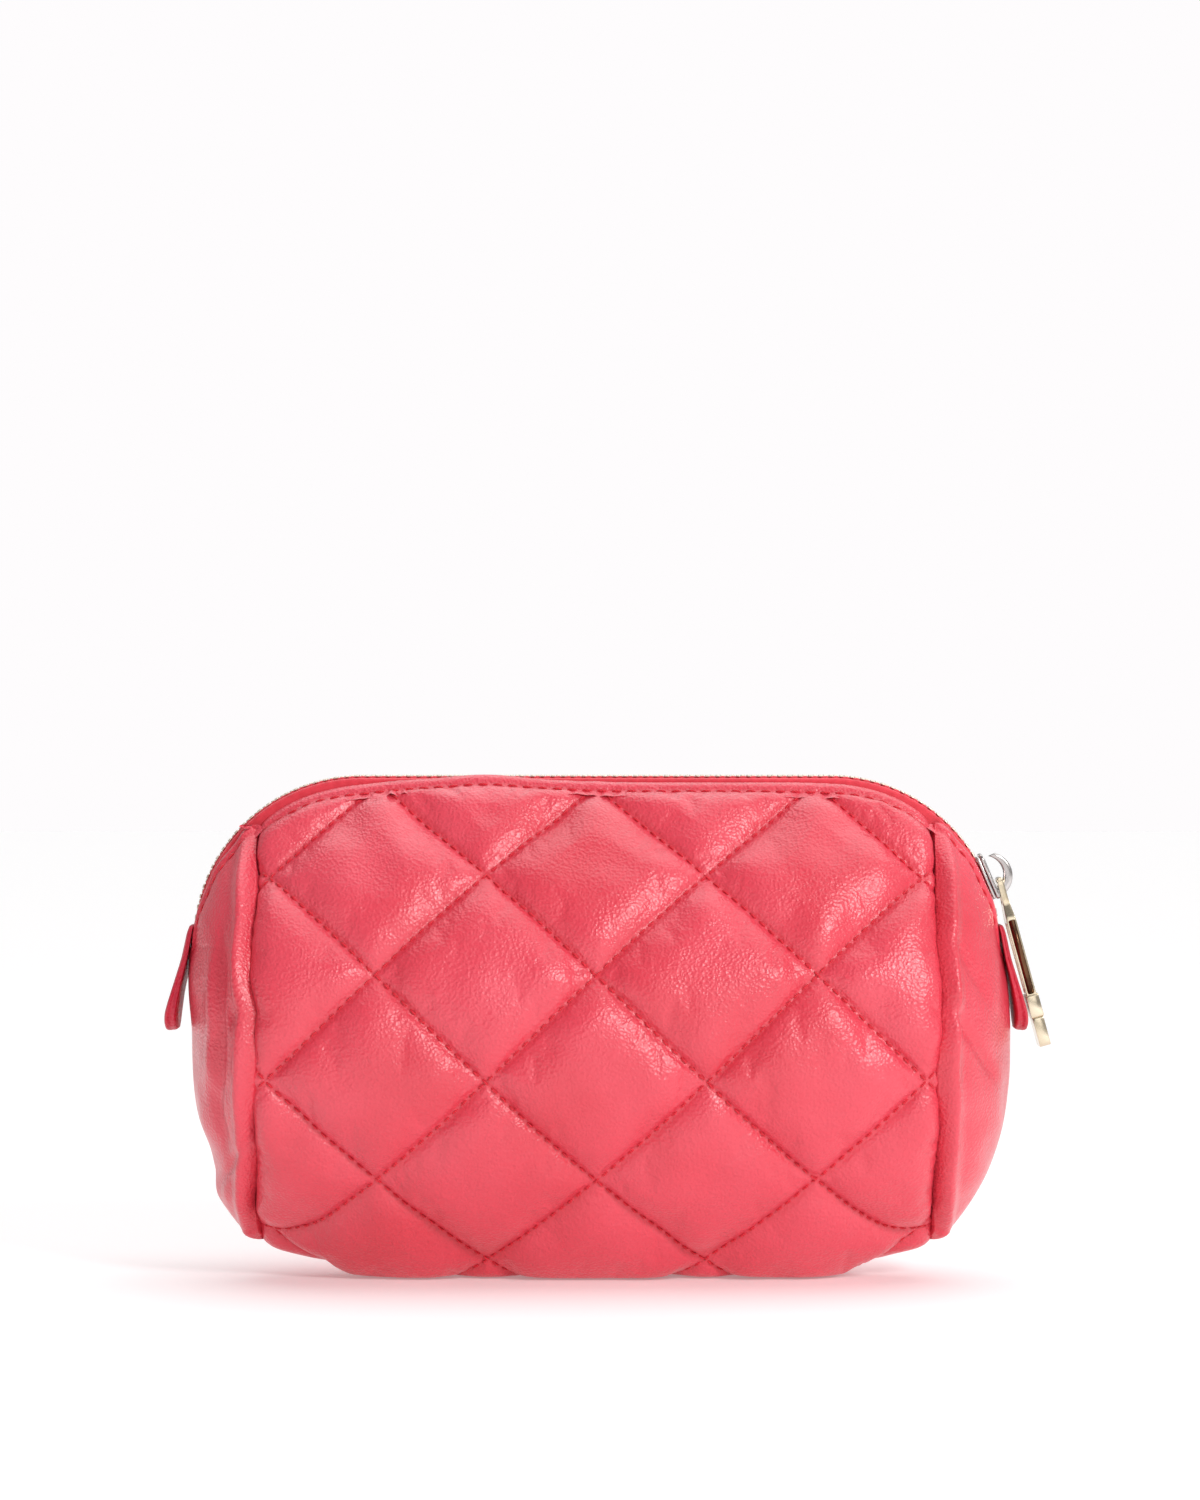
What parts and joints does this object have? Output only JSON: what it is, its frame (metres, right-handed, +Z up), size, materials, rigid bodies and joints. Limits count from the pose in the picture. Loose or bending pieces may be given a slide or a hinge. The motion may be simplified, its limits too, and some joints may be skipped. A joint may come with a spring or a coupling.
{
  "type": "makeup bag",
  "caption": "Soft quilted leather makeup bag with bulging end gussets, a curved top zip, a long slider pull and a leather tab at each zip end.",
  "frame": {"origin": "middle of the flat of the base, on the surface the bag stands on", "axes": "+X along the bag towards the closed end of the zip, -Y the front, +Z up"},
  "size_m": [0.2151, 0.076, 0.122],
  "materials": {
    "coral_leather": "semi-gloss fine-grained lambskin",
    "tab_leather": "glossy crimson leather with painted edges",
    "wadding": "soft polyester wadding",
    "lining": "satin-woven lining cloth",
    "zip_tape": "woven herringbone tape",
    "nickel": "polished nickel plate",
    "pale_gold": "polished pale gold plate"
  },
  "bodies": {
    "bag_body": {"quilted_shell": "coral_leather", "quilt_wadding": "wadding", "body_lining": "lining", "left_gusset": "coral_leather", "right_gusset": "coral_leather", "left_gusset_lining": "lining", "right_gusset_lining": "lining", "front_zip_tape": "zip_tape", "rear_zip_tape": "zip_tape", "front_tape_cord": "zip_tape", "rear_tape_cord": "zip_tape", "front_teeth": "nickel", "rear_teeth": "nickel", "front_shoulder_teeth": "nickel", "rear_shoulder_teeth": "nickel", "bottom_stop": "nickel", "front_top_stop": "nickel", "rear_top_stop": "nickel"},
    "zip_slider": {"slider_body": "nickel", "slider_bridge": "nickel"},
    "zip_pull": {"zip_pull": "pale_gold"},
    "left_end_tab": {"left_end_tab": "tab_leather"},
    "right_end_tab": {"right_end_tab": "tab_leather"}
  },
  "joints": [
    {"name": "slider_travel", "type": "hinge", "parent": "bag_body", "child": "zip_slider", "pos_m": [0.057, 0, 0.081], "axis": [0, -1, 0], "range_deg": [0, 66], "deforming": ["front_shoulder_teeth", "rear_shoulder_teeth"]},
    {"name": "pull_swing", "type": "hinge", "parent": "zip_slider", "child": "zip_pull", "pos_m": [0.09805, 0, 0.09625], "axis": [0, -1, 0], "range_deg": [0, 140]},
    {"name": "left_tab_flex", "type": "hinge", "parent": "bag_body", "child": "left_end_tab", "pos_m": [-0.0989, 0, 0.083], "axis": [0, 1, 0], "range_deg": [0, 60], "stiffness_Nm_per_rad": 0.004},
    {"name": "right_tab_flex", "type": "hinge", "parent": "bag_body", "child": "right_end_tab", "pos_m": [0.0989, 0, 0.083], "axis": [0, -1, 0], "range_deg": [-1.2, 0], "stiffness_Nm_per_rad": 0.004}
  ]
}
